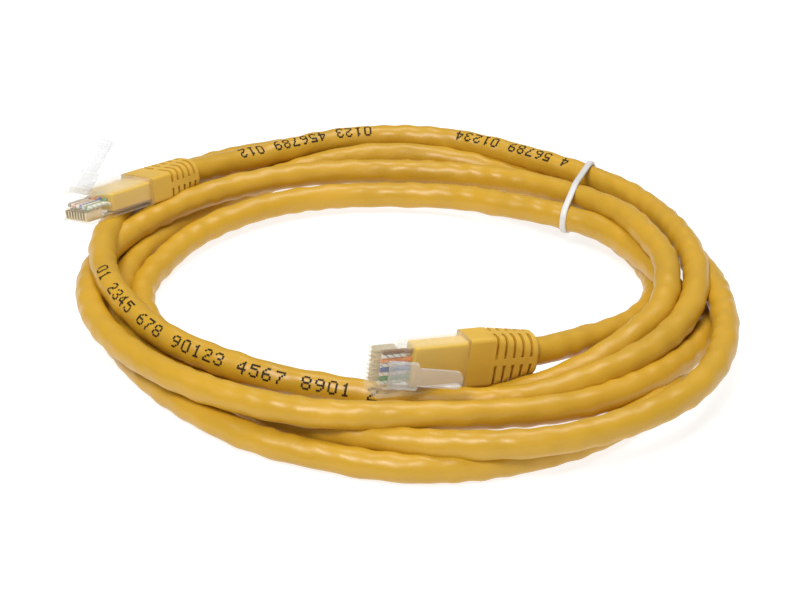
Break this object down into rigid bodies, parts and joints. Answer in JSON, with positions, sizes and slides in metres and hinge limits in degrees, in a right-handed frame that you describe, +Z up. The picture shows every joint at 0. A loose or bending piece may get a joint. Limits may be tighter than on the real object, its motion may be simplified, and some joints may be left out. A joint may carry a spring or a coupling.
{
  "type": "ethernet patch cable",
  "caption": "Round yellow data patch cable in a loose tied coil, with a clear modular plug and a ribbed boot at each end.",
  "frame": {"origin": "centre of the whole cable's footprint, on the surface that the coil lies on", "axes": "+Z up from that surface, +X across the coil's longest extent, from plug a's side to the opposite side, +Y from plug b's side to the tie's side"},
  "size_m": [0.165, 0.16, 0.0295],
  "materials": {
    "jacket": "satin PVC, slightly lumpy over the twisted pairs",
    "boot": "satin moulded PVC",
    "clear_polycarbonate": "clear polished",
    "gold_plate": "gold-plated phosphor bronze",
    "tie_plastic": "white PVC",
    "tie_steel": "soft iron wire",
    "insulation_white_green": "polyethylene insulation",
    "insulation_green": "polyethylene insulation",
    "insulation_white_orange": "polyethylene insulation",
    "insulation_blue": "polyethylene insulation",
    "insulation_white_blue": "polyethylene insulation",
    "insulation_orange": "polyethylene insulation",
    "insulation_white_brown": "polyethylene insulation",
    "insulation_brown": "polyethylene insulation"
  },
  "bodies": {
    "cable": {"plug_a_housing": "clear_polycarbonate", "plug_a_contacts": "gold_plate", "plug_a_strain_relief": "clear_polycarbonate", "plug_a_jacket_end": "jacket", "plug_a_boot": "boot", "plug_a_conductor_1": "insulation_white_green", "plug_a_conductor_2": "insulation_green", "plug_a_conductor_3": "insulation_white_orange", "plug_a_conductor_4": "insulation_blue", "plug_a_conductor_5": "insulation_white_blue", "plug_a_conductor_6": "insulation_orange", "plug_a_conductor_7": "insulation_white_brown", "plug_a_conductor_8": "insulation_brown", "plug_b_housing": "clear_polycarbonate", "plug_b_contacts": "gold_plate", "plug_b_strain_relief": "clear_polycarbonate", "plug_b_jacket_end": "jacket", "plug_b_boot": "boot", "plug_b_conductor_1": "insulation_white_green", "plug_b_conductor_2": "insulation_green", "plug_b_conductor_3": "insulation_white_orange", "plug_b_conductor_4": "insulation_blue", "plug_b_conductor_5": "insulation_white_blue", "plug_b_conductor_6": "insulation_orange", "plug_b_conductor_7": "insulation_white_brown", "plug_b_conductor_8": "insulation_brown", "cable_coil": "jacket", "lead_a": "jacket", "lead_b": "jacket", "tie_sheath": "tie_plastic", "tie_wire": "tie_steel"},
    "latch_a": {"plug_a_latch": "clear_polycarbonate"},
    "latch_b": {"plug_b_latch": "clear_polycarbonate"}
  },
  "joints": [
    {"name": "latch_a_flex", "type": "hinge", "parent": "cable", "child": "latch_a", "pos_m": [-0.07657, 0.02088, 0.02025], "axis": [-0.7573, 0.623, -0.1958], "range_deg": [-6, 38], "stiffness_Nm_per_rad": 0.1},
    {"name": "latch_b_flex", "type": "hinge", "parent": "cable", "child": "latch_b", "pos_m": [-0.00021, -0.06247, 0.01805], "axis": [0.1184, 0.1011, 0.9878], "range_deg": [-14, 18], "stiffness_Nm_per_rad": 0.1}
  ]
}
